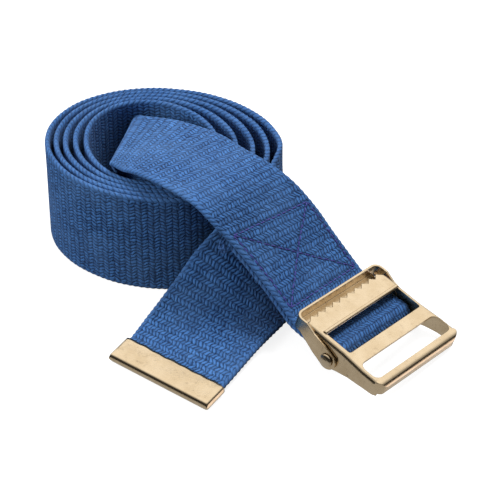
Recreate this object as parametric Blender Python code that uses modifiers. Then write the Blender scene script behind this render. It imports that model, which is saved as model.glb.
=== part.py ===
"""Gait belt: one strip of cotton webbing, rolled on edge, with a folded metal tip on its free end
and a two-piece steel cinch buckle sewn to its other end.

Metres, +Z up. The belt rests on the plane z = 0, and the origin is under the middle of its footprint.
Route points are in millimetres from the middle of the coil; COIL_CENTRE places that point.
"""
from math import cos, pi, radians, sin

import bmesh
import bpy
import numpy as np
from mathutils import Matrix, Vector

MM = 0.001
GAP = 0.3                      # clearance kept between pieces that touch, mm

# Webbing, mm
STRAP_WIDTH = 50.8
STRAP_THICKNESS = 2.3
STATION_STEP = 4.4             # spacing of the sections along the strip
RETURN_LENGTH = 70.0           # strip folded back under the buckle end, from the pin
LOOP_START = 24.0              # from here to the pin the two layers lie flat in the buckle
LOOP_OVERLAP = 2.0             # of the two lengths of strip that meet there
COIL_CENTRE = (-38.74, 40.13)
COIL_TURNS = 4.75
STATIONS_PER_TURN = 24
EDGE_HEIGHT = STRAP_WIDTH / 2 + 0.05  # of the middle of the coil, which stands on its edge

# Buckle, mm, in its own frame: x towards the front bar, y across the strap, z up, pin axis at x = z = 0
PIN_POSITION = (90.7, -82.2, 8.15)
BUCKLE_YAW = 49.0              # of the pin axis, degrees
BUCKLE_ROLL = 5.5              # the far ear is lower
BUCKLE_PITCH = 14.0            # the front bar is lower
SHEET = 1.0
PIN_RADIUS = 2.0
HOLE_RADIUS = PIN_RADIUS + GAP
RIVET_RADIUS = 3.1
RIVET_HEIGHT = 1.4
EAR_RADIUS = 4.6
LEVER_TOP = 8.8
LEVER_INNER = 25.85            # half the clear width between the lever's flanges
LEVER_OUTER = LEVER_INNER + SHEET
LEVER_FRONT = 28.8
LEVER_CORNER = 4.6             # of the front corners, seen from above
BAR_WIDTH = 4.0                # of the thick front bar
FLARE = 1.037                  # widening of the lever's front part
FLARE_START = 6.0
FLARE_END = 18.0
TOOTH_TIP = -17.2
TOOTH_ROOT = -15.2
TOOTH_COUNT = 10
TOOTH_PITCH = 5.0
WINDOW = (-7.2, 7.5, 24.6)     # rear edge, front edge, half width
SLOT = (14.4, 24.5, 25.3)      # rear edge, front edge, half width
SLOT_ROUNDING = 3.0
WINDOW_LIP_RADIUS = 1.0        # of the rolled rear edge of the window
FRAME_INNER = LEVER_OUTER + GAP
FRAME_OUTER = FRAME_INNER + SHEET
FRAME_REAR = -21.8
FRAME_TOP = 9.6
LEDGE_BOTTOM = 3.4
LEDGE_DEPTH = 3.4
FRAME_CORNER = 4.0

# Folded tip, mm
TIP_LENGTH = 12.2
TIP_SHEET = 0.6
TIP_ROUNDING = 0.9
TIP_CLEARANCE = 0.55           # above and below the strip, which bends a little inside the tip

# Seam: a box with a cross, mm, along the strip from the pin and across it
SEAM_START = 28.6
SEAM_END = 66.5
SEAM_HALF_WIDTH = 22.3
SEAM_STEP = 4.0                # lengths that the thread is cut into so that it bends with the strip
THREAD_WIDTH = 0.9
THREAD_THICKNESS = 0.35

COLLECTION_NAME = "gait_belt"
CUTTER_COLLECTION_NAME = "cutters"


# ---------------------------------------------------------------- scene and materials

def clear_scene():
    for scene_object in list(bpy.data.objects):
        bpy.data.objects.remove(scene_object, do_unlink=True)


def new_collection(name):
    collection = bpy.data.collections.new(name)
    bpy.context.scene.collection.children.link(collection)
    return collection


def make_material(name, colour, roughness, metallic=0.0):
    material = bpy.data.materials.new(name)
    material.use_nodes = True
    shader = material.node_tree.nodes["Principled BSDF"]
    shader.inputs["Base Color"].default_value = (*colour, 1.0)
    shader.inputs["Roughness"].default_value = roughness
    shader.inputs["Metallic"].default_value = metallic
    return material


def add_object(name, mesh, collection, material=None, parent=None):
    scene_object = bpy.data.objects.new(name, mesh)
    collection.objects.link(scene_object)
    if material is not None:
        mesh.materials.append(material)
    if parent is not None:
        scene_object.parent = parent
    return scene_object


def smooth(mesh, angle=35.0):
    mesh.shade_smooth()
    mesh.set_sharp_from_angle(angle=radians(angle))


# ---------------------------------------------------------------- route of the webbing

def width_direction(yaw, lean):
    """Unit vector from the strip's lower edge to its upper edge; lean 90 is standing, 0 is flat."""
    yaw, lean = radians(yaw), radians(lean)
    return [cos(lean) * cos(yaw), cos(lean) * sin(yaw), sin(lean)]


def coil_station(turn):
    """Centre of the standing strip, `turn` turns inward from where the tail leaves the coil."""
    angle = 2 * pi * turn
    centre_x = -1.1 * turn - 0.08 * turn ** 2
    centre_y = 0.33 * turn
    half_length = 53.4 - 4.65 * turn - 0.24 * turn ** 2
    half_depth = 44.3 - 2.8 * turn
    skew = 5.0 - 0.5 * turn
    x = centre_x + half_length * cos(angle) - skew * sin(angle)
    y = centre_y + half_depth * sin(angle)
    return [x, y, EDGE_HEIGHT, 0.0, 0.0, 1.0]


def station(x, y, z, yaw, lean):
    return [x, y, z, *width_direction(yaw, lean)]


def tail_stations():
    """From inside the tip, flat on the floor, to the coil's right side, standing on edge."""
    return [
        station(0.7, -109.0, 3.4, 144.4, 2),
        station(8.6, -98.0, 4.7, 145.0, 2),
        station(15.8, -85.8, 6.0, 148.5, 4),
        station(23.0, -73.4, 7.2, 149, 8),
        station(31.0, -62.2, 10.4, 150, 17),
        station(40.0, -52.5, 17.2, 164, 38),
        station(47.5, -40.5, 22.6, 174, 56),
        station(52.6, -27.8, 24.9, 179, 67),
        station(55.2, -13.8, 25.9, 184, 78),
    ]


def inner_stations():
    """From the coil's innermost turn, leaning outward until flat, then up at the coil's left."""
    return [
        station(5.5, -26.0, 25.6, -75, 87),
        station(12.0, -19.0, 25.5, -35, 79),
        station(12.0, -9.5, 25.0, 10, 68),
        station(8.0, -1.5, 23.5, 50, 48),
        station(0.0, 2.5, 20.5, 78, 24),
        station(-8.0, 3.2, 17.5, 85, 6),
        station(-15.0, 3.6, 18.6, 86, 0),
        station(-17.5, 4.0, 25.5, 87.5, -3),
        station(-17.9, 4.2, 34.0, 87, -5),
    ]


def lead_stations():
    """Over the coil's right front rim and down to the buckle."""
    return [
        station(-17.2, 5.0, 42.6, 86, -11),
        station(-17.2, 4.4, 48.6, 80.5, -12),
        station(-6.0, -3.2, 51.8, 65, -7),
        station(8.0, -15.5, 55.6, 51, -5.5),
        station(20.8, -28.3, 56.8, 48.5, -7.2),
        station(34.5, -39.3, 54.2, 49, -7.2),
        station(48.3, -46.5, 42.5, 45.5, -8),
        station(60.0, -54.3, 30.0, 48.5, -6.5),
        station(71.2, -63.9, 18.4, 49.5, -5.5),
    ]


def catmull_rom(rows, step):
    """Smooth curve through the rows, sampled about every `step` of its first three columns."""
    rows = np.array(rows)
    padded = np.vstack([2 * rows[0] - rows[1], rows, 2 * rows[-1] - rows[-2]])
    samples = []
    for index in range(len(rows) - 1):
        a, b, c, d = padded[index:index + 4]
        count = max(1, round(float(np.linalg.norm(c[:3] - b[:3])) / step))
        for t in np.arange(count) / count:
            samples.append(0.5 * (2 * b + (c - a) * t + (2 * a - 5 * b + 4 * c - d) * t ** 2
                                  + (3 * b - a - 3 * c + d) * t ** 3))
    samples.append(rows[-1])
    return np.array(samples)


def buckle_axes():
    """Columns are the buckle's x, y and z directions."""
    across = Vector(width_direction(BUCKLE_YAW, -BUCKLE_ROLL))
    pitch = radians(BUCKLE_PITCH)
    heading = radians(BUCKLE_YAW - 90)
    forward = Vector((cos(pitch) * cos(heading), cos(pitch) * sin(heading), -sin(pitch)))
    forward = (forward - across * forward.dot(across)).normalized()
    return Matrix((forward, across, forward.cross(across))).transposed()


def pin_loop_rows(axes):
    """Under the ledge, over the pin and round it to below the ledge, in the layout's frame."""
    centre_radius = HOLE_RADIUS + STRAP_THICKNESS / 2
    layer = (STRAP_THICKNESS + GAP) / 2
    profile = [(-LOOP_START, layer + 0.5), (-22.0, layer + 0.15), (-20.0, layer), (-16.0, layer),
               (-12.0, layer + 0.15), (-8.0, layer + 0.8), (-4.0, centre_radius - 0.45)]
    bend = [(centre_radius * sin(a), centre_radius * cos(a)) for a in np.linspace(0, pi, 13)]
    profile = profile + bend + [(x, -z) for x, z in reversed(profile[2:])]
    across = axes.col[1]
    return [[*(Vector(PIN_POSITION) + axes @ Vector((x, 0, z))), *across] for x, z in profile]


def strip_frames(rows):
    """Centre, width vector and unit face direction of each section.

    A section follows its row's own direction, which may be oblique to the strip where it wraps
    round; the width vector is then longer than 1, so that the strip keeps its width.
    """
    centres = np.array(rows)[:, :3]
    widths = np.array(rows)[:, 3:6]
    tangents = np.gradient(centres, axis=0)
    tangents /= np.linalg.norm(tangents, axis=1)[:, None]
    widths /= np.linalg.norm(widths, axis=1)[:, None]
    faces = np.cross(tangents, widths)
    sines = np.linalg.norm(faces, axis=1)[:, None]
    return centres, widths / sines, faces / sines


def slice_frames(frames, start, end):
    return tuple(part[start:end] for part in frames)


def trim_end(frames, at_start):
    """Draws the end section back by half the clearance between neighbouring lengths of strip."""
    centres = frames[0].copy()
    end, neighbour = (0, 1) if at_start else (-1, -2)
    towards = centres[neighbour] - centres[end]
    centres[end] += towards * (GAP / 2 / np.linalg.norm(towards))
    return centres, frames[1], frames[2]


def strip_mesh(name, frames):
    """Closed flat strip of the webbing's section along the frames."""
    bm = bmesh.new()
    sections = []
    for centre, width, face in zip(*frames):
        across = width * STRAP_WIDTH / 2
        out = face * STRAP_THICKNESS / 2
        corners = [centre - across - out, centre + across - out, centre + across + out,
                   centre - across + out]
        sections.append([bm.verts.new(to_world(corner)) for corner in corners])
    bm.faces.new(reversed(sections[0]))
    bm.faces.new(sections[-1])
    for near, far in zip(sections, sections[1:]):
        for side in range(4):
            following = (side + 1) % 4
            bm.faces.new((near[side], near[following], far[following], far[side]))
    bmesh.ops.recalc_face_normals(bm, faces=bm.faces)
    mesh = bpy.data.meshes.new(name)
    bm.to_mesh(mesh)
    bm.free()
    smooth(mesh, 50.0)
    return mesh


def to_world(point):
    """Layout millimetres to world metres."""
    x, y, z = point
    return Vector((x + COIL_CENTRE[0], y + COIL_CENTRE[1], z)) * MM


def build_webbing(collection, material, axes):
    """The strip, cut into simple lengths that lie end to end; returns the buckle end's frames."""
    count = round(COIL_TURNS * STATIONS_PER_TURN)
    turns = [coil_station(i / STATIONS_PER_TURN) for i in range(count + 1)]
    loop = pin_loop_rows(axes)
    tail, inner, lead = tail_stations(), inner_stations(), lead_stations()
    route = catmull_rom(tail + turns + inner + lead + loop[:1], STATION_STEP)

    def index_near(row):
        return int(np.argmin(np.linalg.norm(route[:, :3] - np.array(row[:3]), axis=1)))

    coil_start, coil_end = index_near(turns[0]), index_near(turns[-1])
    lead_start = index_near(lead[0])
    whole = strip_frames(np.vstack([route, loop[1:]]))
    fold_start = len(route) - 1
    lead_frames = slice_frames(whole, lead_start, fold_start + 1)

    # The cut end runs back under the strap, one layer below it.
    centres, widths, faces = slice_frames(whole, 0, fold_start + 2)
    returned = LOOP_START - LOOP_OVERLAP
    below = []
    for index in range(fold_start + 1, lead_start, -1):
        below.append([*(centres[index] - faces[index] * (STRAP_THICKNESS + GAP)), *widths[index]])
        returned += float(np.linalg.norm(centres[index - 1] - centres[index]))
        if returned > RETURN_LENGTH:
            break
    fold = strip_frames(np.vstack([route[-1:], loop[1:], below]))

    lengths = [
        ("webbing_tail", slice_frames(whole, 0, coil_start + 1), (False, True)),
        ("webbing_coil", slice_frames(whole, coil_start, coil_end + 1), (True, True)),
        ("webbing_inner_turn", slice_frames(whole, coil_end, lead_start + 1), (True, True)),
        ("webbing_lead", lead_frames, (True, True)),
        ("webbing_fold", fold, (True, False)),
    ]
    for name, frames, (trim_first, trim_last) in lengths:
        if trim_first:
            frames = trim_end(frames, True)
        if trim_last:
            frames = trim_end(frames, False)
        add_object(name, strip_mesh(name, frames), collection, material)
    return whole, fold_start


# ---------------------------------------------------------------- solids from outlines

def plate_mesh(name, outlines, thickness):
    """Flat plate in the XY plane: the first outline with the others as holes."""
    curve = bpy.data.curves.new(name, "CURVE")
    curve.dimensions = "2D"
    curve.fill_mode = "BOTH"
    curve.extrude = thickness / 2
    for outline in outlines:
        spline = curve.splines.new("POLY")
        spline.points.add(len(outline) - 1)
        for point, (x, y) in zip(spline.points, outline):
            point.co = (x, y, 0.0, 1.0)
        spline.use_cyclic_u = True
    guide = bpy.data.objects.new(name, curve)
    bpy.context.scene.collection.objects.link(guide)
    bpy.context.view_layer.update()
    evaluated = guide.evaluated_get(bpy.context.evaluated_depsgraph_get())
    mesh = bpy.data.meshes.new_from_object(evaluated)
    bpy.data.objects.remove(guide, do_unlink=True)
    bpy.data.curves.remove(curve)
    bm = bmesh.new()
    bm.from_mesh(mesh)
    bmesh.ops.remove_doubles(bm, verts=bm.verts, dist=1e-7)
    bmesh.ops.dissolve_limit(bm, angle_limit=radians(1), verts=bm.verts, edges=bm.edges)
    bmesh.ops.recalc_face_normals(bm, faces=bm.faces)
    bm.to_mesh(mesh)
    bm.free()
    mesh.name = name
    return mesh


def arc(cx, cy, radius, start, end, steps):
    """Points on an arc, angles in degrees."""
    angles = [radians(start + (end - start) * i / steps) for i in range(steps + 1)]
    return [(cx + radius * cos(a), cy + radius * sin(a)) for a in angles]


def rounded_rectangle(x0, x1, y0, y1, radius, steps=4):
    return (arc(x1 - radius, y1 - radius, radius, 0, 90, steps)
            + arc(x0 + radius, y1 - radius, radius, 90, 180, steps)
            + arc(x0 + radius, y0 + radius, radius, 180, 270, steps)
            + arc(x1 - radius, y0 + radius, radius, 270, 360, steps))


def scaled(outline):
    return [(x * MM, y * MM) for x, y in outline]


# Outlines drawn in a plane of the buckle's frame: the map takes (outline x, outline y, extrusion).
FLAT = Matrix.Identity(4)                                               # x, y, extruded along z
SIDE = Matrix(((1, 0, 0, 0), (0, 0, -1, 0), (0, 1, 0, 0), (0, 0, 0, 1)))  # x, z, extruded along y
END = Matrix(((0, 0, 1, 0), (1, 0, 0, 0), (0, 1, 0, 0), (0, 0, 0, 1)))    # y, z, extruded along x


def prism(name, outline, plane, thickness, centre=(0, 0, 0)):
    """Mesh of an outline in millimetres, extruded `thickness` along the plane's normal."""
    mesh = plate_mesh(name, [scaled(outline)], thickness * MM)
    mesh.transform(Matrix.Translation(Vector(centre) * MM) @ plane)
    return mesh


def rod_mesh(name, radius, length, segments=24):
    """Cylinder along the buckle's y axis."""
    bm = bmesh.new()
    bmesh.ops.create_cone(bm, cap_ends=True, segments=segments, radius1=radius * MM, radius2=radius * MM,
                          depth=length * MM, matrix=Matrix.Rotation(pi / 2, 4, "X"))
    mesh = bpy.data.meshes.new(name)
    bm.to_mesh(mesh)
    bm.free()
    return mesh


def combine(target, tool_mesh, operation, cutters):
    """Adds an exact Boolean against a hidden tool that shares the target's parent."""
    tool = add_object(tool_mesh.name, tool_mesh, cutters, parent=target.parent)
    tool.hide_render = True
    tool.display_type = "WIRE"
    modifier = target.modifiers.new(tool_mesh.name, "BOOLEAN")
    modifier.operation = operation
    modifier.solver = "EXACT"
    modifier.object = tool


def ease_edges(target, width, segments=2):
    bevel = target.modifiers.new("eased_edges", "BEVEL")
    bevel.limit_method = "ANGLE"
    bevel.angle_limit = radians(50)
    bevel.width = width * MM
    bevel.segments = segments


# ---------------------------------------------------------------- buckle

def lever_side_outline():
    """Side view of the lever: ear round the pin, flange rising to the front bar, toothed edge behind."""
    return ([(TOOTH_TIP, LEVER_TOP), (TOOTH_TIP, LEVER_TOP - SHEET), (-10.5, LEVER_TOP - SHEET - 0.6),
             (-6.4, 4.6)]
            + arc(0, 0, EAR_RADIUS, 165, 290, 10)
            + [(6.0, -2.9), (12.0, -0.9), (19.0, 0.5), (LEVER_FRONT - 2.4, 1.2)]
            + arc(LEVER_FRONT - 2.2, 3.4, 2.2, -90, 0, 5)
            + arc(LEVER_FRONT - 2.8, LEVER_TOP - 2.8, 2.8, 0, 90, 7))


def build_lever(collection, cutters, material, pivot):
    half = LEVER_OUTER
    channel = ([(half, -8.0)] + arc(half - 2.0, LEVER_TOP - 2.0, 2.0, 0, 90, 5)
               + arc(-half + 2.0, LEVER_TOP - 2.0, 2.0, 90, 180, 5) + [(-half, -8.0)]
               + [(-LEVER_INNER, -8.0)] + arc(-LEVER_INNER + 1.0, LEVER_TOP - SHEET - 1.0, 1.0, 180, 90, 3)
               + arc(LEVER_INNER - 1.0, LEVER_TOP - SHEET - 1.0, 1.0, 90, 0, 3) + [(LEVER_INNER, -8.0)])
    length = 60.0
    lever = add_object("buckle_lever", prism("buckle_lever", channel, END, length), collection,
                       material, pivot)
    lip_height = 6.4
    lip = rounded_rectangle(-half, half, LEVER_TOP - lip_height, LEVER_TOP, 1.0, 3)
    bar_centre = (LEVER_FRONT - BAR_WIDTH / 2, 0, 0)
    combine(lever, prism("front_bar", lip, END, BAR_WIDTH, bar_centre), "UNION", cutters)
    combine(lever, prism("lever_side", lever_side_outline(), SIDE, 80.0), "INTERSECT", cutters)
    plan = ([(-40.0, -half - 1.0), (LEVER_FRONT - LEVER_CORNER, -half)]
            + arc(LEVER_FRONT - LEVER_CORNER, -half + LEVER_CORNER, LEVER_CORNER, -90, 0, 7)
            + arc(LEVER_FRONT - LEVER_CORNER, half - LEVER_CORNER, LEVER_CORNER, 0, 90, 7)
            + [(-40.0, half + 1.0)])
    combine(lever, prism("lever_plan", plan, FLAT, 60.0), "INTERSECT", cutters)

    rear, front, half_width = WINDOW
    window = rounded_rectangle(rear, front, -half_width, half_width, 1.2, 3)
    combine(lever, prism("window", window, FLAT, 20.0, (0, 0, LEVER_TOP)), "DIFFERENCE", cutters)
    rear, front, half_width = SLOT
    slot = rounded_rectangle(rear, front, -half_width, half_width, SLOT_ROUNDING, 5)
    combine(lever, prism("slot", slot, FLAT, 6.0, (0, 0, LEVER_TOP)), "DIFFERENCE", cutters)

    first = -TOOTH_PITCH * TOOTH_COUNT / 2
    comb = [(TOOTH_TIP - 5.0, first - 4.0), (TOOTH_ROOT, first - 4.0), (TOOTH_ROOT, first)]
    for tooth in range(TOOTH_COUNT):
        comb.append((TOOTH_TIP, first + (tooth + 0.5) * TOOTH_PITCH))
        comb.append((TOOTH_ROOT, first + (tooth + 1) * TOOTH_PITCH))
    comb += [(TOOTH_ROOT, -first + 4.0), (TOOTH_TIP - 5.0, -first + 4.0)]
    combine(lever, prism("tooth_gaps", comb, FLAT, 20.0, (0, 0, LEVER_TOP)), "DIFFERENCE", cutters)
    rolled = rod_mesh("window_lip", WINDOW_LIP_RADIUS, 2 * WINDOW[2] + 1.0, 12)
    rolled.transform(Matrix.Translation(Vector((WINDOW[0] + 0.4, 0, LEVER_TOP + 0.05)) * MM))
    combine(lever, rolled, "UNION", cutters)
    combine(lever, rod_mesh("lever_pin_hole", HOLE_RADIUS, 80.0), "DIFFERENCE", cutters)
    ease_edges(lever, 0.22)
    flare_front(lever)
    return lever


def flare_front(lever):
    """Widens the lever in front of its ears, in a straight taper and then evenly."""
    bpy.context.view_layer.update()
    evaluated = lever.evaluated_get(bpy.context.evaluated_depsgraph_get())
    bm = bmesh.new()
    bm.from_mesh(bpy.data.meshes.new_from_object(evaluated))
    for position in (FLARE_START, FLARE_END):
        bmesh.ops.bisect_plane(bm, geom=bm.verts[:] + bm.edges[:] + bm.faces[:], dist=1e-8,
                               plane_co=(position * MM, 0, 0), plane_no=(1, 0, 0))
    for vertex in bm.verts:
        share = (vertex.co.x / MM - FLARE_START) / (FLARE_END - FLARE_START)
        vertex.co.y *= 1 + (FLARE - 1) * min(max(share, 0.0), 1.0)
    lever.modifiers.clear()
    bm.to_mesh(lever.data)
    bm.free()


def build_frame(collection, cutters, material, pivot):
    outer = (arc(FRAME_REAR + FRAME_CORNER, FRAME_OUTER - FRAME_CORNER, FRAME_CORNER, 180, 90, 6)
             + [(8.0, FRAME_OUTER)])
    inner_radius = FRAME_CORNER - SHEET
    inner = (arc(FRAME_REAR + FRAME_CORNER, FRAME_OUTER - FRAME_CORNER, inner_radius, 180, 90, 6)
             + [(8.0, FRAME_INNER)])
    plan = ([(x, -y) for x, y in reversed(outer)] + outer
            + list(reversed(inner)) + [(x, -y) for x, y in inner])
    frame = add_object("buckle_frame", prism("buckle_frame", plan, FLAT, 40.0), collection,
                       material, pivot)
    side = ([(FRAME_REAR - 1.0, FRAME_TOP), (FRAME_REAR - 1.0, LEDGE_BOTTOM), (-17.0, LEDGE_BOTTOM),
             (-13.0, 1.2), (-8.0, -1.6)]
            + arc(0, 0, EAR_RADIUS, 235, 405, 14)
            + [(-3.0, 5.6), (-10.0, 7.2), (-15.0, FRAME_TOP)])
    combine(frame, prism("frame_side", side, SIDE, 80.0), "INTERSECT", cutters)
    ledge = rounded_rectangle(FRAME_REAR + 0.3, FRAME_REAR + SHEET + LEDGE_DEPTH,
                              -FRAME_OUTER + 2.6, FRAME_OUTER - 2.6, 0.4, 2)
    combine(frame, prism("ledge", ledge, FLAT, SHEET, (0, 0, LEDGE_BOTTOM + SHEET / 2)), "UNION", cutters)
    combine(frame, rod_mesh("frame_pin_hole", HOLE_RADIUS, 80.0), "DIFFERENCE", cutters)
    ease_edges(frame, 0.22)
    return frame


def build_pin(collection, material, pivot):
    """Riveted pin: a turned profile with a domed head at each end."""
    shoulder = FRAME_OUTER + GAP
    end = shoulder + RIVET_HEIGHT
    dome = [(RIVET_RADIUS * cos(a), shoulder + 0.3 + (RIVET_HEIGHT - 0.3) * sin(a))
            for a in np.linspace(0, pi / 2, 6)]
    half = [(0.0, end)] + list(reversed(dome))[1:] + [(RIVET_RADIUS, shoulder), (PIN_RADIUS, shoulder)]
    profile = half + [(radius, -height) for radius, height in reversed(half)]
    mesh = bpy.data.meshes.new("pivot_pin")
    points = [(radius * MM, 0.0, height * MM) for radius, height in profile]
    mesh.from_pydata(points, [(i, i + 1) for i in range(len(points) - 1)], [])
    mesh.shade_smooth()
    pin = add_object("pivot_pin", mesh, collection, material, pivot)
    pin.rotation_euler = (-pi / 2, 0, 0)
    screw = pin.modifiers.new("turned", "SCREW")
    screw.steps = 24
    screw.render_steps = 24
    screw.use_merge_vertices = True
    screw.merge_threshold = 1e-6
    screw.use_smooth_shade = True
    return pin


# ---------------------------------------------------------------- tip

def build_tip(collection, cutters, material, whole):
    """Folded sheet closed over the free end: a shallow box, open where the strap goes in."""
    centre, width, face = (Vector(part[0]) for part in whole)
    width.normalize()
    axes = Matrix((width.cross(face), width, face)).transposed().to_4x4()
    seat = bpy.data.objects.new("tip_seat", None)
    collection.objects.link(seat)
    seat.matrix_world = Matrix.Translation(to_world(centre)) @ axes

    clear = STRAP_THICKNESS / 2 + TIP_CLEARANCE
    half_width = STRAP_WIDTH / 2 + GAP
    outer = rounded_rectangle(-GAP - TIP_SHEET, TIP_LENGTH, -clear - TIP_SHEET, clear + TIP_SHEET,
                              TIP_ROUNDING, 4)
    tip = add_object("strap_tip", prism("strap_tip", outer, SIDE, 2 * (half_width + TIP_SHEET)),
                     collection, material, seat)
    cavity = rounded_rectangle(-GAP, TIP_LENGTH + 4.0, -clear, clear, 0.2, 2)
    combine(tip, prism("tip_cavity", cavity, SIDE, 2 * half_width), "DIFFERENCE", cutters)
    ease_edges(tip, 0.2)
    return tip


# ---------------------------------------------------------------- seam

def inset_triangle(a, b, c, inset):
    """The triangle a, b, c (anticlockwise) with each side moved inwards."""
    corners = [Vector(a), Vector(b), Vector(c)]
    result = []
    for index in range(3):
        corner = corners[index]
        leaving = (corners[(index + 1) % 3] - corner).normalized()
        arriving = (corner - corners[index - 1]).normalized()
        half_angle = (pi - leaving.angle(arriving)) / 2
        result.append(corner + (leaving - arriving).normalized() * (inset / sin(half_angle)))
    return [tuple(point) for point in result]


def seam_outlines():
    """A box with a cross: the outside, then the four triangles left open."""
    near, far, half, edge = SEAM_START, SEAM_END, SEAM_HALF_WIDTH, THREAD_WIDTH / 2
    corners = [(near, -half), (far, -half), (far, half), (near, half)]
    middle = ((near + far) / 2, 0.0)
    outside = [(near - edge, -half - edge), (far + edge, -half - edge), (far + edge, half + edge),
               (near - edge, half + edge)]
    return [outside] + [inset_triangle(corners[i], corners[(i + 1) % 4], middle, edge) for i in range(4)]


def build_seam(name, collection, material, frames, level):
    """Thread lying on the strip's face, `level` from its middle, as one joined piece."""
    mesh = plate_mesh(name, [scaled(outline) for outline in seam_outlines()], THREAD_THICKNESS * MM)
    bm = bmesh.new()
    bm.from_mesh(mesh)
    for position in np.arange(SEAM_START + SEAM_STEP, SEAM_END, SEAM_STEP):
        bmesh.ops.bisect_plane(bm, geom=bm.verts[:] + bm.edges[:] + bm.faces[:], dist=1e-8,
                               plane_co=(position * MM, 0, 0), plane_no=(1, 0, 0))
    centres, widths, faces = frames
    runs = np.concatenate([[0.0], np.cumsum(np.linalg.norm(np.diff(centres, axis=0), axis=1))])
    for vertex in bm.verts:
        from_pin, across, height = vertex.co / MM
        along = from_pin - LOOP_START
        centre, width, face = (np.array([np.interp(along, runs, rows[:, axis]) for axis in range(3)])
                               for rows in (centres, widths, faces))
        vertex.co = to_world(centre + width * across + face * (level + height))
    bmesh.ops.reverse_faces(bm, faces=bm.faces)
    bm.to_mesh(mesh)
    bm.free()
    return add_object(name, mesh, collection, material)


# ---------------------------------------------------------------- assembly

def build_gait_belt():
    clear_scene()
    parts = new_collection(COLLECTION_NAME)
    cutters = new_collection(CUTTER_COLLECTION_NAME)
    webbing = make_material("blue_cotton_webbing", (0.045, 0.14, 0.36), 0.85)
    steel = make_material("yellow_plated_steel", (0.83, 0.70, 0.45), 0.25, 1.0)
    rivet = make_material("bright_steel", (0.78, 0.72, 0.60), 0.22, 1.0)
    thread = make_material("violet_thread", (0.12, 0.09, 0.36), 0.6)

    axes = buckle_axes()
    whole, fold_start = build_webbing(parts, webbing, axes)
    build_tip(parts, cutters, steel, whole)

    pivot = bpy.data.objects.new("buckle_pivot", None)
    parts.objects.link(pivot)
    pivot.matrix_world = Matrix.Translation(to_world(PIN_POSITION)) @ axes.to_4x4()
    bpy.context.view_layer.update()
    build_frame(parts, cutters, steel, pivot)
    build_lever(parts, cutters, steel, pivot)
    build_pin(parts, rivet, pivot)

    # Back along the strip from the buckle, which turns the seam's flat mesh inside out.
    back = tuple(part[:fold_start + 1][::-1] for part in whole)
    top = (STRAP_THICKNESS + THREAD_THICKNESS) / 2 + GAP
    bottom = -top - STRAP_THICKNESS - GAP
    build_seam("needle_thread", parts, thread, back, top)
    build_seam("bobbin_thread", parts, thread, back, bottom)


build_gait_belt()
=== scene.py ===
"""Gait belt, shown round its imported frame: one strip of herringbone webbing with its selvedges,
box-and-cross stitching and frayed cut end, the crimped metal tip, and the plated cinch buckle.

Metres, +Z up. The strip's route repeats the one that the frame's webbing solids were made from.
"""
from math import cos, pi, radians, sin, tau

import bmesh
import bpy
import numpy as np
from mathutils import Matrix, Vector


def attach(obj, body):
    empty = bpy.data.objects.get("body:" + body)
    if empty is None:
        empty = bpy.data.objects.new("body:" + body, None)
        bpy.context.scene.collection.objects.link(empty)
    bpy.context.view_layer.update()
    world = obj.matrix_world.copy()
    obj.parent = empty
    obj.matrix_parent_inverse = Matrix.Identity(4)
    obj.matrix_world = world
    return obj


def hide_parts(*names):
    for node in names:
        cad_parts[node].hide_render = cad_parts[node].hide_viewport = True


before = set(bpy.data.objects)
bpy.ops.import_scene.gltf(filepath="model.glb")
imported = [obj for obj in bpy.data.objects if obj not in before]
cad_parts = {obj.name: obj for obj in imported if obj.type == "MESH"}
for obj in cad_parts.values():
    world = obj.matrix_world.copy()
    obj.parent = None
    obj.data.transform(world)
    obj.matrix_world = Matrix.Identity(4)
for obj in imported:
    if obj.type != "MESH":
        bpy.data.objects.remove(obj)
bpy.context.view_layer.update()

MM = 0.001

# Strip, mm: the same route as the frame's
STRAP_WIDTH = 50.8
STRAP_THICKNESS = 2.3
GAP = 0.3
LOOP_START = 24.0              # from here to the pin the two layers lie flat in the buckle
LOOP_OVERLAP = 2.0             # of the strip's two lengths that meet at the start of the loop
RETURN_LENGTH = 70.0           # strip folded back under the buckle end, from the pin
COIL_CENTRE = (-38.74, 40.13)
COIL_TURNS = 4.75
STATIONS_PER_TURN = 24
EDGE_HEIGHT = STRAP_WIDTH / 2 + 0.05
PIN_POSITION = (90.7, -82.2, 8.15)
BUCKLE_YAW = 49.0
BUCKLE_ROLL = 5.5
BUCKLE_PITCH = 14.0
HOLE_RADIUS = 2.3
ROUTE_STEP = 4.4

# Strip's surface, mm
SECTION_STEP = 1.1             # of the route's points
LOOP_STEP = 0.5                # of the sections round the pin
FACE_POINTS = 27               # points across each face
EDGE_POINTS = 5                # points round each selvedge
SELVEDGE = 1.3                 # width over which the section thins to the rounded selvedge
SCALLOP_DEPTH = 0.18           # of the weft's loops along the selvedge
UNDULATION = 0.08              # of the cloth's faces
LONG_WAVE = (7.3, 21.0)        # its waves' lengths per radian, along and across
SLANTED_WAVE = (17.0, -13.0)
SHORT_WAVE = (3.1, 6.0)
EDGE_SWING = 0.12              # of its width
EDGE_SWING_LENGTH = 19.0
ROW_LENGTH = 2.7               # of a row of floats, along the strip
FLOAT_PITCH = 1.75             # of the floats in a row, across the strip
FLOAT_SLANT = 0.75             # of a float's two ends, in pitches
YARN_WANDER = (2.4, 2.0)       # of rows and floats from their true places, along and across
WEAVE_RELIEF = 0.36            # of the floats, in shading only
PUCKER_RELIEF = 0.4            # of the cloth's soft unevenness, in shading only
GROOVE = (0.2, 1.3)            # half widths of the groove that the seam pulls in, bottom and top; it is drawn only as painted shade and a bump
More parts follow.
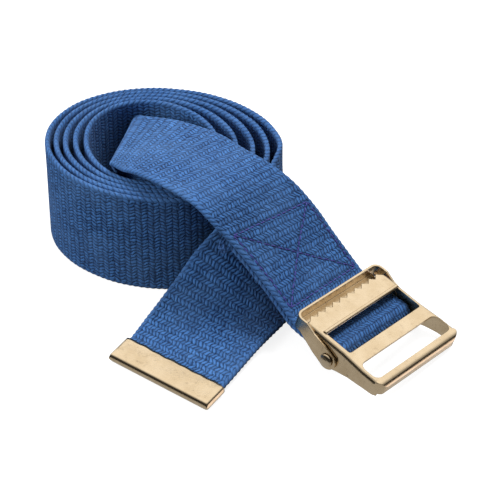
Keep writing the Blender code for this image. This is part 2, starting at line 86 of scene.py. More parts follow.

# Seam, mm: from the pin along the strip, and across it
SEAM_START = 28.6
SEAM_END = 66.5
SEAM_HALF_WIDTH = 22.3
STITCH_LENGTH = 2.7
STITCH_GAP = 0.5
STITCH_DIP = -0.3              # of a stitch's ends, from the cloth's face
STITCH_RISE = 0.5
STITCH_LEAN = 0.1              # spread of the stitches' directions, sideways over their length
STITCH_JITTER = 0.08           # spread of their places
STITCH_RISE_SPREAD = 0.03
STITCH_SEED = 5
STITCH_POINTS = 9
STITCH_SIDES = 8
THREAD_RADIUS = 0.24

# Yarn that frays from the cut end, mm
FRAY_SEED = 11
FRAY_POINTS = 14
FRAY_SIDES = 6
FRAY_PITCH = 1.5
FRAY_ROOT = 0.8                # length of each end that is inside the cloth
FRAY_REACH = (1.6, 4.0)
FRAY_CURL = (0.5, 1.1)
FRAY_TURNS = (0.3, 0.9)
FRAY_HEIGHT = 0.7
FRAY_RADIUS = 0.2
TUFT_LOOPS = 7                 # of yarn that hang from the cut end's front corner
TUFT_DROP = (2.0, 4.2)
TUFT_SPREAD = (0.8, 2.0)
TUFT_ROOTS = (-2.0, 1.2)       # where the loops start, along the strip from the corner
TUFT_RADIUS = 0.3

# Tip, mm
TIP_LENGTH = 12.2
TIP_HALF_WIDTH = 26.3
TIP_HALF_HEIGHT = 2.3
TIP_SHEET = 0.5
TIP_RUN_POINTS = 12
TIP_ACROSS_POINTS = 91
TIP_OUTER_BEND = 1.5           # radius of the fold, outside and inside
TIP_INNER_BEND = 1.1
CRIMP_PITCH = 7.4
CRIMP_SWAY = 17.0              # length of a slower wave in the crimp
CRIMP_DEPTH = 0.11             # share of the half height
MOUTH_WAVE = 0.5
TIP_SOFTNESS = 0.02            # share of the half height by which the sheet is uneven

# Colours, 8-bit sRGB
# WEAVE_DARK is painted shade in the crevices between the floats and in the seam's groove, and also the
# darker floats' own tone.
WEAVE_DARK = (10, 24, 54)
WEAVE_LIGHT = (64, 110, 170)
WEAVE_WORN = (88, 126, 176)
WEAVE_DEEP = (32, 62, 112)
SELVEDGE_COLOUR = (56, 88, 134)
THREAD_DARK = (40, 38, 112)
THREAD_LIGHT = (80, 74, 164)
METAL_BASE = (228, 206, 172)
METAL_TARNISH = (208, 182, 142)
METAL_STAIN = (112, 84, 56)
RIVET_BASE = (214, 198, 172)
EDGE_ROUNDING = 0.45           # edges of the metal shade as if rounded by this much, mm
STEEL_ROUGHNESS = 0.15
STEEL_WAVINESS = 0.06          # of the sheet metal's faces, in shading only, mm
RIVET_ROUGHNESS = 0.14
RIVET_WAVINESS = 0.1

# Camera
CAMERA_ELEVATION = 38.2
CAMERA_DISTANCE = 1.035
CAMERA_LENS = 162.0
CAMERA_TARGET = (0.00106, 0.02633, 0.0)

# Light
SKY_TILT = (0.05, 0.5, 0.75)   # direction in which the sky is brightest
SKY_RANGE = (0.05, 0.85)       # its share of that direction where the sky is darkest and brightest
SKY_LOW = 0.03
SKY_HIGH = 1.2
WHITE = (1.0, 1.0, 1.0)
PINKISH = (1.0, 0.86, 0.86)
# Name, place, size, power and colour. Reflections show only the cards; the lamps light the rest.
LAMPS = (("key", (0.75, 0.6, 2.2), (0.9, 0.9), 46.0, WHITE),
         ("side", (-2.2, -0.9, 1.1), (1.2, 1.2), 60.0, WHITE))
CARDS = (("under", (0.0, 0.0, -0.6), (3.0, 3.0), 12.0, WHITE),
         ("card", (0.8, 0.1, -0.55), (0.8, 0.6), 1.3, PINKISH))
FLOOR_HALF_SIZE = 6.0
FLOOR_GLOW = 0.85


# ---------------------------------------------------------------- route, as in the frame

def width_direction(yaw, lean):
    yaw, lean = radians(yaw), radians(lean)
    return [cos(lean) * cos(yaw), cos(lean) * sin(yaw), sin(lean)]


def coil_station(turn):
    """Centre of the standing strip, `turn` turns inward from where the tail leaves the coil."""
    angle = tau * turn
    centre_x = -1.1 * turn - 0.08 * turn ** 2
    centre_y = 0.33 * turn
    half_length = 53.4 - 4.65 * turn - 0.24 * turn ** 2
    half_depth = 44.3 - 2.8 * turn
    skew = 5.0 - 0.5 * turn
    x = centre_x + half_length * cos(angle) - skew * sin(angle)
    y = centre_y + half_depth * sin(angle)
    return [x, y, EDGE_HEIGHT, 0.0, 0.0, 1.0]


def station(x, y, z, yaw, lean):
    return [x, y, z, *width_direction(yaw, lean)]


def tail_stations():
    """From inside the tip, flat on the floor, to the coil's right side, standing on edge."""
    return [
        station(0.7, -109.0, 3.4, 144.4, 2),
        station(8.6, -98.0, 4.7, 145.0, 2),
        station(15.8, -85.8, 6.0, 148.5, 4),
        station(23.0, -73.4, 7.2, 149, 8),
        station(31.0, -62.2, 10.4, 150, 17),
        station(40.0, -52.5, 17.2, 164, 38),
        station(47.5, -40.5, 22.6, 174, 56),
        station(52.6, -27.8, 24.9, 179, 67),
        station(55.2, -13.8, 25.9, 184, 78),
    ]


def inner_stations():
    """From the coil's innermost turn, leaning outward until flat, then up at the coil's left."""
    return [
        station(5.5, -26.0, 25.6, -75, 87),
        station(12.0, -19.0, 25.5, -35, 79),
        station(12.0, -9.5, 25.0, 10, 68),
        station(8.0, -1.5, 23.5, 50, 48),
        station(0.0, 2.5, 20.5, 78, 24),
        station(-8.0, 3.2, 17.5, 85, 6),
        station(-15.0, 3.6, 18.6, 86, 0),
        station(-17.5, 4.0, 25.5, 87.5, -3),
        station(-17.9, 4.2, 34.0, 87, -5),
    ]


def lead_stations():
    """Over the coil's right front rim and down to the buckle."""
    return [
        station(-17.2, 5.0, 42.6, 86, -11),
        station(-17.2, 4.4, 48.6, 80.5, -12),
        station(-6.0, -3.2, 51.8, 65, -7),
        station(8.0, -15.5, 55.6, 51, -5.5),
        station(20.8, -28.3, 56.8, 48.5, -7.2),
        station(34.5, -39.3, 54.2, 49, -7.2),
        station(48.3, -46.5, 42.5, 45.5, -8),
        station(60.0, -54.3, 30.0, 48.5, -6.5),
        station(71.2, -63.9, 18.4, 49.5, -5.5),
    ]


def catmull_rom(rows, step):
    """Smooth curve through the rows, sampled about every `step` of its first three columns."""
    rows = np.array(rows)
    padded = np.vstack([2 * rows[0] - rows[1], rows, 2 * rows[-1] - rows[-2]])
    samples = []
    for index in range(len(rows) - 1):
        a, b, c, d = padded[index:index + 4]
        count = max(1, round(float(np.linalg.norm(c[:3] - b[:3])) / step))
        for t in np.arange(count) / count:
            samples.append(0.5 * (2 * b + (c - a) * t + (2 * a - 5 * b + 4 * c - d) * t ** 2
                                  + (3 * b - a - 3 * c + d) * t ** 3))
    samples.append(rows[-1])
    return np.array(samples)


def buckle_axes():
    """Columns are the buckle's x, y and z directions."""
    across = Vector(width_direction(BUCKLE_YAW, -BUCKLE_ROLL))
    pitch = radians(BUCKLE_PITCH)
    heading = radians(BUCKLE_YAW - 90)
    forward = Vector((cos(pitch) * cos(heading), cos(pitch) * sin(heading), -sin(pitch)))
    forward = (forward - across * forward.dot(across)).normalized()
    return Matrix((forward, across, forward.cross(across))).transposed()


def pin_loop_rows(axes):
    """Under the ledge, over the pin and round it to below the ledge, in the layout's frame."""
    centre_radius = HOLE_RADIUS + STRAP_THICKNESS / 2
    layer = (STRAP_THICKNESS + GAP) / 2
    profile = [(-LOOP_START, layer + 0.5), (-22.0, layer + 0.15), (-20.0, layer), (-16.0, layer),
               (-12.0, layer + 0.15), (-8.0, layer + 0.8), (-4.0, centre_radius - 0.45)]
    bend = [(centre_radius * sin(a), centre_radius * cos(a)) for a in np.linspace(0, pi, 13)]
    profile = profile + bend + [(x, -z) for x, z in reversed(profile[2:])]
    across = axes.col[1]
    return [[*(Vector(PIN_POSITION) + axes @ Vector((x, 0, z))), *across] for x, z in profile]


def strip_frames(rows):
    """Centre, width vector and unit face direction of each section.

    A section follows its row's own direction, which may be oblique to the strip where it wraps
    round; the width vector is then longer than 1, so that the strip keeps its width.
    """
    centres = np.array(rows)[:, :3]
    widths = np.array(rows)[:, 3:6]
    tangents = np.gradient(centres, axis=0)
    tangents /= np.linalg.norm(tangents, axis=1)[:, None]
    widths /= np.linalg.norm(widths, axis=1)[:, None]
    faces = np.cross(tangents, widths)
    sines = np.linalg.norm(faces, axis=1)[:, None]
    return centres, widths / sines, faces / sines


def strip_rows():
    """Rows along the whole strip, from inside the tip to the cut end under the buckle's end."""
    axes = buckle_axes()
    turns = [coil_station(i / STATIONS_PER_TURN)
             for i in range(round(COIL_TURNS * STATIONS_PER_TURN) + 1)]
    loop = pin_loop_rows(axes)
    route = catmull_rom(tail_stations() + turns + inner_stations() + lead_stations() + loop[:1],
                        ROUTE_STEP)
    centres, widths, faces = strip_frames(np.vstack([route, loop[1:]]))
    fold_start = len(route) - 1
    returned = LOOP_START - LOOP_OVERLAP
    below = []
    for index in range(fold_start + 1, 0, -1):
        below.append([*(centres[index] - faces[index] * (STRAP_THICKNESS + GAP)), *widths[index]])
        returned += float(np.linalg.norm(centres[index - 1] - centres[index]))
        if returned > RETURN_LENGTH:
            break
    return np.vstack([route, loop[1:], below]), route[-1, :3]


def to_world(points):
    """Layout millimetres to world metres."""
    return (np.asarray(points) + np.array([*COIL_CENTRE, 0.0])) * MM


class Strip:
    """The strip's middle surface, read at a distance along it (mm) and a distance across it (mm)."""

    def __init__(self):
        rows, loop_start = strip_rows()
        fine = catmull_rom(rows, SECTION_STEP)
        self.centres, self.widths, self.faces = strip_frames(fine)
        steps = np.linalg.norm(np.diff(self.centres, axis=0), axis=1)
        self.runs = np.concatenate([[0.0], np.cumsum(steps)])
        self.length = float(self.runs[-1])
        nearest = int(np.argmin(np.linalg.norm(fine[:, :3] - loop_start, axis=1)))
        self.pin_run = float(self.runs[nearest]) + LOOP_START

    def frame(self, along):
        return (np.stack([np.interp(along, self.runs, rows[:, axis]) for axis in range(3)], axis=-1)
                for rows in (self.centres, self.widths, self.faces))

    def point(self, along, across, height):
        """World point; height is measured from the middle surface along the face's direction."""
        centre, width, face = self.frame(along)
        across, height = (np.asarray(value, float)[..., None] for value in (across, height))
        return to_world(centre + width * across + face * height)


# ---------------------------------------------------------------- meshes

def grid_faces(rows, columns, closed):
    """Quads of a grid of rows * columns vertices; `closed` joins the last column to the first."""
    faces = []
    for row in range(rows - 1):
        for column in range(columns if closed else columns - 1):
            following = (column + 1) % columns
            near, far = row * columns, (row + 1) * columns
            faces.append((near + column, near + following, far + following, far + column))
    return faces


def tube_faces(rows, columns):
    """A closed tube's sides and its two end caps."""
    first = tuple(reversed(range(columns)))
    last = tuple(range((rows - 1) * columns, rows * columns))
    return grid_faces(rows, columns, True) + [first, last]


def add_piece(name, points, faces, material, body, uv=None):
    """Smooth mesh object of world points, riding on a body, with UVs given for each vertex."""
    mesh = bpy.data.meshes.new(name)
    mesh.from_pydata(np.asarray(points).reshape(-1, 3).tolist(), [], faces)
    if uv is not None:
        corners = np.zeros(len(mesh.loops), np.int32)
        mesh.loops.foreach_get("vertex_index", corners)
        layer = mesh.uv_layers.new(name="weave")
        layer.data.foreach_set("uv", np.asarray(uv, np.float32).reshape(-1, 2)[corners].ravel())
    bm = bmesh.new()
    bm.from_mesh(mesh)
    bmesh.ops.remove_doubles(bm, verts=bm.verts, dist=1e-7)
    bmesh.ops.recalc_face_normals(bm, faces=bm.faces)
    bm.to_mesh(mesh)
    bm.free()
    mesh.shade_smooth()
    mesh.materials.append(material)
    piece = bpy.data.objects.new(name, mesh)
    bpy.context.scene.collection.objects.link(piece)
    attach(piece, body)
    return piece


# ---------------------------------------------------------------- webbing

def webbing_outline():
    """Round the strip's section: position across, height, distance across on the surface, edge."""
    half, thick = STRAP_WIDTH / 2 - SELVEDGE, STRAP_THICKNESS / 2
    flat = np.linspace(-half, half, FACE_POINTS)
    angles = np.linspace(pi / 2, -pi / 2, EDGE_POINTS + 2)[1:-1]
    round_y = half + SELVEDGE * np.cos(angles)
    round_z = thick * np.sin(angles)
    spread = half + (SELVEDGE + thick) / 2 * (pi / 2 - np.abs(angles))
    edge = np.cos(angles)
    across = np.concatenate([flat, round_y, flat[::-1], -round_y[::-1]])
    height = np.concatenate([np.full(FACE_POINTS, thick), round_z,
                             np.full(FACE_POINTS, -thick), round_z[::-1]])
    surface = np.concatenate([flat, spread, flat[::-1], -spread[::-1]])
    flat_edge = np.zeros(FACE_POINTS)
    return across, height, surface, np.concatenate([flat_edge, edge, flat_edge, edge])


def plane_wave(along, across, lengths):
    return np.sin(along / lengths[0] + across / lengths[1])


def build_webbing(strip, material):
    across, height, surface, edge = webbing_outline()
    bend = strip.pin_run - LOOP_START / 2, strip.pin_run + LOOP_START / 2
    along = np.concatenate([np.arange(0.0, bend[0], ROW_LENGTH / 2), np.arange(*bend, LOOP_STEP),
                            np.arange(bend[1], strip.length, ROW_LENGTH / 2), [strip.length]])
    count = len(along)
    u, v = along[:, None], across[None, :]

    # The cloth isn't quite flat: long soft waves, and each pick of the weft shows at the selvedge.
    wave = UNDULATION * (plane_wave(u, v, LONG_WAVE) * plane_wave(u, v, SLANTED_WAVE)
                         + 0.5 * plane_wave(u, v, SHORT_WAVE))
    pick = np.cos(tau * u / ROW_LENGTH)
    out = SCALLOP_DEPTH * pick * edge[None, :] * np.sign(v)
    swing = EDGE_SWING * np.sin(u / EDGE_SWING_LENGTH) * (v / STRAP_WIDTH + 0.5)
    points = strip.point(np.broadcast_to(u, (count, len(across))), v + out + swing, height + wave)
    uv = np.stack(np.broadcast_arrays(u, surface[None, :]), axis=-1)
    piece = add_piece("webbing", points, tube_faces(count, len(across)), material, "belt", uv)
    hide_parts("webbing_tail", "webbing_coil", "webbing_inner_turn", "webbing_lead",
                "webbing_fold")
    return piece


# ---------------------------------------------------------------- thread

def tube_points(path, radius, sides):
    """Rings round a path of world points, narrower at both ends; path is (n, 3)."""
    tangents = np.gradient(path, axis=0)
    tangents /= np.linalg.norm(tangents, axis=1)[:, None]
    skew_to_all = np.array([0.31, 0.17, 0.93])
    first = np.cross(tangents, skew_to_all)
    first /= np.linalg.norm(first, axis=1)[:, None]
    second = np.cross(tangents, first)
    angles = np.linspace(0, tau, sides, endpoint=False)[None, :, None]
    taper = np.clip(np.sin(np.linspace(0.12, pi - 0.12, len(path))) * 3.0, 0.35, 1.0)[:, None, None]
    return path[:, None, :] + radius * taper * (np.cos(angles) * first[:, None, :]
                                                + np.sin(angles) * second[:, None, :])


class Tubes:
    """Points and faces of many closed tubes, gathered for one mesh."""

    def __init__(self):
        self.points, self.faces, self.count = [], [], 0

    def add(self, path, radius, sides):
        self.points.append(tube_points(path, radius * MM, sides).reshape(-1, 3))
        self.faces += [tuple(corner + self.count for corner in face)
                       for face in tube_faces(len(path), sides)]
        self.count += len(path) * sides

    def add_piece(self, name, material, body, slot):
        return add_piece(name, np.concatenate(self.points), self.faces, material, body)


def seam_lines():
    """Box and cross, from the pin along the strip and across it."""
    near, far, half = SEAM_START, SEAM_END, SEAM_HALF_WIDTH
    return [((near, -half), (far, -half)), ((far, -half), (far, half)), ((far, half), (near, half)),
            ((near, half), (near, -half)), ((near, -half), (far, half)), ((near, half), (far, -half))]


def build_stitches(name, strip, level, side, node, material):
    """Rows of single stitches that dip into the cloth at their ends."""
    rng = np.random.default_rng(STITCH_SEED)
    tubes = Tubes()
    t = np.linspace(0, 1, STITCH_POINTS)
    for start, end in seam_lines():
        start, end = np.array(start), np.array(end)
        span = float(np.linalg.norm(end - start))
        direction = (end - start) / span
        normal = np.array([-direction[1], direction[0]])
        count = round(span / (STITCH_LENGTH + STITCH_GAP))
        pitch = span / count
        for index in range(count):
            head = start + direction * (pitch * index + STITCH_GAP / 2)
            reach = pitch - STITCH_GAP
            lean = rng.normal(0, STITCH_LEAN)
            places = (head + direction * reach * t[:, None]
                      + normal * (rng.normal(0, STITCH_JITTER) + lean * (t[:, None] - 0.5)))
            height = STITCH_RISE + rng.normal(0, STITCH_RISE_SPREAD)
            rise = STITCH_DIP + height * np.sin(pi * t) ** 0.6
            path = strip.point(strip.pin_run - places[:, 0], places[:, 1], level + side * rise)
            tubes.add(path, THREAD_RADIUS, STITCH_SIDES)
    piece = tubes.add_piece(name, material, "belt", "thread")
    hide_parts(node)
    return piece


def build_fray(strip, material):
    """Curly yarn ends that stand out of the strip's cut end, and a tuft of loops at its corner."""
    rng = np.random.default_rng(FRAY_SEED)
    tubes = Tubes()
    t = np.linspace(0, 1, FRAY_POINTS)[:, None]
    centre, width, face = (row[-1] for row in (strip.centres, strip.widths, strip.faces))
    tangent = strip.centres[-1] - strip.centres[-2]
    tangent /= np.linalg.norm(tangent)
    for across in np.arange(-STRAP_WIDTH / 2 + 1.0, STRAP_WIDTH / 2 - 0.6, FRAY_PITCH):
        reach = rng.uniform(*FRAY_REACH)
        curl = rng.uniform(*FRAY_CURL) * t
        turns = rng.uniform(*FRAY_TURNS)
        phase = rng.uniform(0, tau)
        height = rng.uniform(-FRAY_HEIGHT, FRAY_HEIGHT)
        swing = tau * turns * t + phase
        path = (centre + width * across + face * height + tangent * (reach * t - FRAY_ROOT)
                + width * curl * np.sin(swing) + face * curl * np.cos(swing) * 0.6)
        tubes.add(to_world(path), FRAY_RADIUS, FRAY_SIDES)

    corner = centre - width * STRAP_WIDTH / 2
    down = np.array([0.0, 0.0, -1.0])
    turn = 1.35 * pi * t
    for loop in range(TUFT_LOOPS):
        drop = rng.uniform(*TUFT_DROP)
        spread = rng.uniform(*TUFT_SPREAD)
        start = corner + tangent * rng.uniform(*TUFT_ROOTS) + face * rng.uniform(-0.8, 0.8)
        path = (start - width * (0.4 + spread * np.sin(turn * 0.8))
                + tangent * spread * 0.8 * np.sin(turn + loop) + face * 0.5 * np.cos(2 * turn)
                + down * drop * np.sin(pi * t))
        tubes.add(to_world(path), TUFT_RADIUS, FRAY_SIDES)
    return tubes.add_piece("frayed_yarn_ends", material, "belt", "webbing")


# ---------------------------------------------------------------- tip

def tip_section(half_height, start, end, radius):
    """Open outline from the lower mouth round the closed end to the upper mouth (along, up)."""
    lengths = np.linspace(1, 0, TIP_RUN_POINTS) ** 0.9
    lower = [(start + radius + (end - start - radius) * t, -half_height) for t in lengths]
    bend = [(start + radius - radius * sin(a), -half_height * cos(a))
            for a in np.linspace(0, pi, 9)[1:-1]]
    return np.array(lower + bend + [(x, -z) for x, z in reversed(lower)])


def build_tip(strip, material):
    """Folded sheet, crimped on to the strip: soft dents, and a mouth edge that follows them."""
    centre, width, face = (part[0] for part in (strip.centres, strip.widths, strip.faces))
    width = width / np.linalg.norm(width)
    inward = np.cross(width, face)

    def shell(half_height, start, half_width, radius):
        section = tip_section(half_height, start, TIP_LENGTH, radius)
        across = half_width * np.sin(np.linspace(-pi / 2, pi / 2, TIP_ACROSS_POINTS))
        share = np.abs(across / half_width)
        round_off = np.clip(1 - share ** 60, 0, 1)[:, None] ** 0.5
        x, z = section[:, 0][None, :], section[:, 1][None, :]
        y = across[:, None]
        mouth = (x - start) / (TIP_LENGTH - start)
        mouth = np.clip(mouth, 0, 1)
        crimp = 0.5 * np.sin(tau * y / CRIMP_PITCH + 0.8) + 0.3 * np.sin(tau * y / CRIMP_SWAY + 2.0)
        between_ends = share[:, None] < 0.99
        dent = 1 - CRIMP_DEPTH * mouth ** 2 * (0.5 + 0.5 * crimp) * between_ends
        soft = 1 + TIP_SOFTNESS * np.sin(y / 4.0 + x * 0.5) * np.sin(x / 2.7)
        x = x + MOUTH_WAVE * crimp * mouth ** 4
        z = z * round_off * dent * soft
        y = y + 0 * x
        grid = np.stack([x, y, z], axis=-1)
        return centre + grid[..., :1] * inward + grid[..., 1:2] * width + grid[..., 2:] * face

    outer = shell(TIP_HALF_HEIGHT, -GAP - TIP_SHEET, TIP_HALF_WIDTH, TIP_OUTER_BEND)
    inner = shell(TIP_HALF_HEIGHT - TIP_SHEET, -GAP, TIP_HALF_WIDTH - TIP_SHEET, TIP_INNER_BEND)
    rows, columns = outer.shape[:2]
    points = to_world(np.concatenate([outer.reshape(-1, 3), inner.reshape(-1, 3)]))
    faces = grid_faces(rows, columns, False)
    size = rows * columns
    faces += [tuple(size + corner for corner in reversed(quad)) for quad in grid_faces(rows, columns, False)]
    for row in range(rows - 1):
        for column in (0, columns - 1):
            a, b = row * columns + column, (row + 1) * columns + column
            faces.append((a, b, b + size, a + size))
    piece = add_piece("strap_tip_shell", points, faces, material, "belt")
    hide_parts("strap_tip")
    return piece


# ---------------------------------------------------------------- shading

def srgb(*values):
    """Linear RGBA of an 8-bit sRGB colour."""
    linear = [value / 255 / 12.92 if value <= 10 else ((value / 255 + 0.055) / 1.055) ** 2.4
              for value in values]
    return (*linear, 1.0)


class Graph:
    """One material's nodes; inputs take sockets or plain values."""

    def __init__(self, name):
        self.material = bpy.data.materials.new(name)
        self.material.use_nodes = True
        self.tree = self.material.node_tree
        self.shader = self.tree.nodes["Principled BSDF"]

    def put(self, socket, value):
        if isinstance(value, bpy.types.NodeSocket):
            self.tree.links.new(value, socket)
        else:
            socket.default_value = value

    def node(self, kind, inputs, **settings):
        made = self.tree.nodes.new("ShaderNode" + kind)
        for name, value in settings.items():
            setattr(made, name, value)
        for key, value in inputs.items():
            self.put(made.inputs[key], value)
        return made

    def math(self, operation, first, second=0.0, third=0.0):
        return self.node("Math", {0: first, 1: second, 2: third}, operation=operation).outputs[0]

    def ramp(self, value, low, high, start=0.0, end=1.0):
        """Smooth step of value from low to high, between start and end."""
        return self.node("MapRange", {0: value, 1: low, 2: high, 3: start, 4: end},
                         interpolation_type="SMOOTHSTEP").outputs[0]

    def mix(self, share, first, second):
        return self.node("Mix", {0: share, 6: first, 7: second}, data_type="RGBA").outputs[2]

    def arch(self, value, power):
        """0 at whole numbers and 1 half way between them, rounder for a smaller power."""
        return self.math("POWER", self.math("SINE", self.math("MULTIPLY", value, pi)), power)

    def noise(self, vector, scale, detail=2.0, roughness=0.5):
        return self.node("TexNoise", {"Vector": vector, "Scale": scale, "Detail": detail,
                                      "Roughness": roughness}).outputs[0]

    def object_position(self):
        return self.node("TexCoord", {}).outputs["Object"]

    def bump(self, height, distance, strength=1.0, normal=None):
        inputs = {"Height": height, "Distance": distance, "Strength": strength}
        if normal is not None:
            inputs["Normal"] = normal
        return self.node("Bump", inputs).outputs[0]

    def finish(self, colour, roughness, normal, **inputs):
        self.put(self.shader.inputs["Base Color"], colour)
        self.put(self.shader.inputs["Roughness"], roughness)
        self.put(self.shader.inputs["Normal"], normal)
        for name, value in inputs.items():
            self.put(self.shader.inputs[name.replace("_", " ")], value)
        return self.material


def line_distance(graph, from_pin, across):
    """Distance to the nearest of the seam's lines, mm."""
    middle = (SEAM_START + SEAM_END) / 2
    half_length = (SEAM_END - SEAM_START) / 2
    u = graph.math("ABSOLUTE", graph.math("SUBTRACT", from_pin, middle))
    v = graph.math("ABSOLUTE", across)
    du, dv = graph.math("SUBTRACT", u, half_length), graph.math("SUBTRACT", v, SEAM_HALF_WIDTH)
    outline = graph.math("ABSOLUTE", graph.math("MAXIMUM", du, dv))
    outside = graph.math("MAXIMUM", graph.math("MAXIMUM", du, dv), 0.0)
    slope = SEAM_HALF_WIDTH / half_length
    diagonal = graph.math("SUBTRACT", v, graph.math("MULTIPLY", u, slope))
    diagonal = graph.math("ABSOLUTE", graph.math("MULTIPLY", diagonal, 1 / (1 + slope ** 2) ** 0.5))
    return graph.math("MINIMUM", outline, graph.math("MAXIMUM", diagonal, outside))


def webbing_material(pin_run):
    """Herringbone weave; its UVs are the distances along and across the strip, mm."""
    graph = Graph("woven_cotton")
    uv = graph.node("UVMap", {}, uv_map="weave").outputs[0]
    position = graph.object_position()
    parts = graph.node("SeparateXYZ", {0: uv}).outputs
    wander = graph.node("TexNoise", {"Vector": uv, "Scale": 0.5, "Detail": 3.0}).outputs[1]
    drift = graph.node("SeparateXYZ", {0: wander}).outputs
    along = graph.math("MULTIPLY_ADD", drift[0], YARN_WANDER[0], parts[0])
    across = graph.math("MULTIPLY_ADD", drift[1], YARN_WANDER[1], parts[1])

    # Rows of slanted floats side by side, each row leaning the other way from the one before.
    row = graph.math("DIVIDE", along, ROW_LENGTH)
    number = graph.math("FLOOR", row)
    place = graph.math("FRACT", row)
    parity = graph.math("FLOORED_MODULO", number, 2.0)
    lean = graph.math("MULTIPLY_ADD", parity, 2 * FLOAT_SLANT, -FLOAT_SLANT)
    shift = graph.math("MULTIPLY", lean, graph.math("SUBTRACT", place, 0.5))
    run = graph.math("ADD", graph.math("DIVIDE", across, FLOAT_PITCH), shift)
    step = graph.math("FRACT", run)
    crown = graph.math("MULTIPLY_ADD", graph.arch(place, 0.6), 0.7, 0.3)
    height = graph.math("MULTIPLY", crown, graph.arch(step, 0.65))

    cell = graph.node("CombineXYZ", {0: number, 1: graph.math("FLOOR", run)}).outputs[0]
    chance = graph.node("TexWhiteNoise", {"Vector": cell}, noise_dimensions="2D").outputs[0]
    fibres = graph.noise(uv, 1.6, 4.0, 0.75)

    # Selvedge: finer slanted turns of the weft.
    side = graph.math("ABSOLUTE", parts[1])
    border = graph.ramp(side, STRAP_WIDTH / 2 - SELVEDGE - 0.9, STRAP_WIDTH / 2 - SELVEDGE + 0.1)
    turn = graph.math("MULTIPLY_ADD", side, 0.9, along)
    turn = graph.math("FRACT", graph.math("DIVIDE", turn, ROW_LENGTH))
    height = graph.math("ADD", graph.math("MULTIPLY", height, graph.math("SUBTRACT", 1.0, border)),
                        graph.math("MULTIPLY", graph.arch(turn, 0.6), border))

    from_pin = graph.math("SUBTRACT", pin_run, parts[0])
    groove = graph.ramp(line_distance(graph, from_pin, parts[1]), *GROOVE, 1.0, 0.0)

    # Colour: lighter on the crowns and darker in the crevices between floats, which is painted shade; uneven
    # from float to float; painted shade in the seam's groove.
    patches = graph.noise(position, 55.0, 3.0, 0.6)
    wear = graph.noise(position, 16.0, 2.0, 0.5)
    # Painted shade: the low parts of the floats, between them, take the dark colour.
    shade = graph.ramp(height, 0.1, 1.0)
    shade = graph.math("MULTIPLY", shade, graph.math("MULTIPLY_ADD", chance, 0.55, 0.6))
    shade = graph.math("ADD", shade, graph.math("MULTIPLY_ADD", fibres, 1.3, -0.62))
    # Painted shade in the seam's groove.
    shade = graph.math("MULTIPLY", shade, graph.math("MULTIPLY_ADD", groove, -0.5, 1.0))
    colour = graph.mix(shade, srgb(*WEAVE_DARK), srgb(*WEAVE_LIGHT))
    colour = graph.mix(graph.math("MULTIPLY", border, 0.45), colour, srgb(*SELVEDGE_COLOUR))
    colour = graph.mix(graph.ramp(patches, 0.3, 0.75, 0.0, 0.25), colour, srgb(*WEAVE_WORN))
    colour = graph.mix(graph.ramp(wear, 0.35, 0.7, 0.0, 0.2), colour, srgb(*WEAVE_DEEP))

    relief = graph.math("ADD", height, graph.math("MULTIPLY", fibres, 0.25))
    relief = graph.math("SUBTRACT", relief, graph.math("MULTIPLY", groove, 0.8))
    normal = graph.bump(relief, WEAVE_RELIEF * MM, 1.0)
    normal = graph.bump(patches, PUCKER_RELIEF * MM, 0.6, normal)
    roughness = graph.math("MULTIPLY_ADD", fibres, 0.2, 0.72)
    return graph.finish(colour, roughness, normal, Sheen_Weight=0.04, Sheen_Roughness=0.5,
                        Specular_IOR_Level=0.15)


def thread_material(name, dark, light):
    """Twisted yarn: slanted plies with fine fibres on them."""
    graph = Graph(name)
    position = graph.object_position()
    fibres = graph.noise(position, 5200.0, 2.0, 0.6)
    patches = graph.noise(position, 260.0, 2.0, 0.5)
    ply = graph.node("TexWave", {"Vector": position, "Scale": 900.0, "Distortion": 2.0},
                     bands_direction="DIAGONAL").outputs[1]
    colour = graph.mix(graph.math("MULTIPLY_ADD", ply, 0.5, graph.math("MULTIPLY", patches, 0.5)),
                       srgb(*dark), srgb(*light))
    height = graph.math("ADD", ply, graph.math("MULTIPLY", fibres, 0.4))
    roughness = graph.math("MULTIPLY_ADD", fibres, 0.25, 0.45)
    return graph.finish(colour, roughness, graph.bump(height, 0.06 * MM, 0.8), Sheen_Weight=0.1)


def metal_material(name, base, rough, waviness):
    """Bright plating: rounded edges, faint brushing and scratches, dull patches, darker stains."""
    graph = Graph(name)
    position = graph.object_position()
    patches = graph.noise(position, 120.0, 4.0, 0.6)
    stains = graph.noise(position, 420.0, 3.0, 0.7)
    drawn_out = graph.node("Mapping", {"Vector": position, "Scale": (1.0, 6.0, 1.0)}).outputs[0]
    brushed = graph.noise(drawn_out, 900.0, 2.0, 0.6)
    slanted = graph.node("Mapping", {"Vector": position, "Rotation": (0.2, 0.4, 0.7),
                                     "Scale": (1.0, 14.0, 3.0)}).outputs[0]
    cells = graph.node("TexVoronoi", {"Vector": slanted, "Scale": 160.0}, feature="DISTANCE_TO_EDGE")
    scratch = graph.ramp(cells.outputs[0], 0.0, 0.05, 1.0, 0.0)
    stain = graph.ramp(stains, 0.55, 0.8, 0.0, 0.55)
    colour = graph.mix(graph.ramp(patches, 0.3, 0.7, 0.0, 0.5), srgb(*base), srgb(*METAL_TARNISH))
    colour = graph.mix(graph.math("MULTIPLY", stain, 0.5), colour, srgb(*METAL_STAIN))
    roughness = graph.math("MULTIPLY_ADD", patches, 0.2, rough - 0.05)
    roughness = graph.math("ADD", roughness, graph.math("MULTIPLY", stain, 0.25))
    roughness = graph.math("ADD", roughness, graph.math("MULTIPLY", scratch, 0.12))
    rounded = graph.node("Bevel", {"Radius": EDGE_ROUNDING * MM}, samples=6).outputs[0]
    normal = graph.bump(graph.noise(position, 60.0, 2.0, 0.5), waviness * MM, 0.5, rounded)
    normal = graph.bump(brushed, 0.002 * MM, 0.5, normal)
    normal = graph.bump(scratch, -0.004 * MM, 0.5, normal)
    return graph.finish(colour, roughness, normal, Metallic=1.0)


# ---------------------------------------------------------------- camera, light and floor

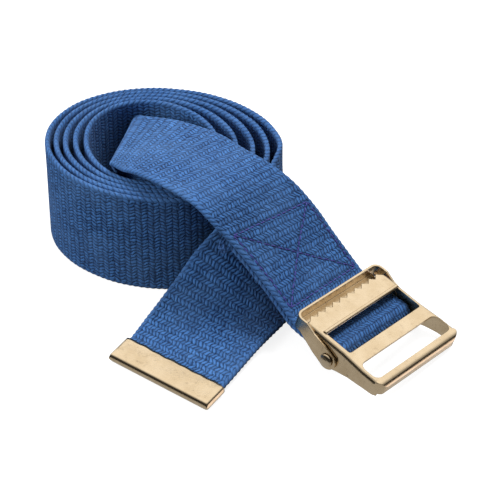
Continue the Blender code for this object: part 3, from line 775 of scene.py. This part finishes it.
def add_camera():
    camera = bpy.data.objects.new("camera", bpy.data.cameras.new("camera"))
    bpy.context.scene.collection.objects.link(camera)
    elevation = radians(CAMERA_ELEVATION)
    back = Vector((0.0, -cos(elevation), sin(elevation)))
    camera.location = Vector(CAMERA_TARGET) + back * CAMERA_DISTANCE
    camera.rotation_euler = back.to_track_quat("Z", "Y").to_euler()
    camera.data.lens = CAMERA_LENS
    camera.data.clip_start = 0.01
    camera.data.clip_end = 100.0
    bpy.context.scene.camera = camera


def add_area_light(name, location, size, power, colour, only_reflected):
    """Rectangle that faces the origin, and is seen by reflections only or by everything else."""
    light = bpy.data.lights.new(name, "AREA")
    light.shape = "RECTANGLE"
    light.size, light.size_y = size
    light.energy = power
    light.color = colour
    lamp = bpy.data.objects.new(name, light)
    bpy.context.scene.collection.objects.link(lamp)
    lamp.location = location
    lamp.rotation_euler = Vector(location).to_track_quat("Z", "Y").to_euler()
    lamp.visible_camera = False
    lamp.visible_diffuse = not only_reflected
    lamp.visible_glossy = only_reflected


def add_world():
    """Soft studio sky, bright overhead and behind, dark low down and in front."""
    world = bpy.data.worlds.new("studio")
    bpy.context.scene.world = world
    world.use_nodes = True
    tree = world.node_tree
    direction = tree.nodes.new("ShaderNodeTexCoord").outputs["Generated"]
    share = tree.nodes.new("ShaderNodeVectorMath")
    share.operation = "DOT_PRODUCT"
    share.inputs[1].default_value = SKY_TILT
    tree.links.new(direction, share.inputs[0])
    ramp = tree.nodes.new("ShaderNodeMapRange")
    ramp.interpolation_type = "SMOOTHSTEP"
    tree.links.new(share.outputs["Value"], ramp.inputs[0])
    for key, value in enumerate((*SKY_RANGE, SKY_LOW, SKY_HIGH), start=1):
        ramp.inputs[key].default_value = value
    background = tree.nodes["Background"]
    tree.links.new(ramp.outputs[0], background.inputs["Strength"])
    background.inputs["Color"].default_value = (1.0, 1.0, 1.0, 1.0)


def add_floor():
    mesh = bpy.data.meshes.new("floor")
    half = FLOOR_HALF_SIZE
    mesh.from_pydata([(-half, -half, 0), (half, -half, 0), (half, half, 0), (-half, half, 0)],
                     [], [(0, 1, 2, 3)])
    graph = Graph("pale_paper")
    tooth = graph.noise(graph.object_position(), 300.0, 2.0, 0.5)
    colour = graph.mix(graph.math("MULTIPLY", tooth, 0.1), srgb(150, 150, 150), srgb(140, 140, 140))
    graph.finish(colour, 0.95, graph.bump(tooth, 0.02 * MM, 0.1), Emission_Color=(1.0, 1.0, 1.0, 1.0),
                 Emission_Strength=FLOOR_GLOW, Specular_IOR_Level=0.0)
    mesh.materials.append(graph.material)
    floor = bpy.data.objects.new("floor", mesh)
    bpy.context.scene.collection.objects.link(floor)
    floor.visible_diffuse = False
    floor.visible_glossy = False


# ---------------------------------------------------------------- assembly

def dress_node(name, material):
    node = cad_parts[name]
    node.data.materials.clear()
    node.data.materials.append(material)


def build():
    strip = Strip()
    webbing = webbing_material(strip.pin_run)
    thread = thread_material("violet_thread", THREAD_DARK, THREAD_LIGHT)
    yarn = thread_material("blue_yarn", WEAVE_DEEP, WEAVE_LIGHT)
    steel = metal_material("gold_plated_steel", METAL_BASE, STEEL_ROUGHNESS, STEEL_WAVINESS)
    rivet = metal_material("bright_rivet_steel", RIVET_BASE, RIVET_ROUGHNESS, RIVET_WAVINESS)
    cloth = build_webbing(strip, webbing)
    surface = STRAP_THICKNESS / 2
    needle = build_stitches("needle_stitches", strip, surface, 1.0, "needle_thread", thread)
    under = -surface - STRAP_THICKNESS - GAP
    bobbin = build_stitches("bobbin_stitches", strip, under, -1.0, "bobbin_thread", thread)
    fray = build_fray(strip, yarn)
    tip = build_tip(strip, steel)
    dress_node("buckle_frame", steel)
    dress_node("buckle_lever", steel)
    dress_node("pivot_pin", rivet)


add_camera()
add_world()
add_floor()
for lamp in LAMPS:
    add_area_light(*lamp, only_reflected=False)
for card in CARDS:
    add_area_light(*card, only_reflected=True)
build()
bpy.context.scene.view_settings.view_transform = "Standard"
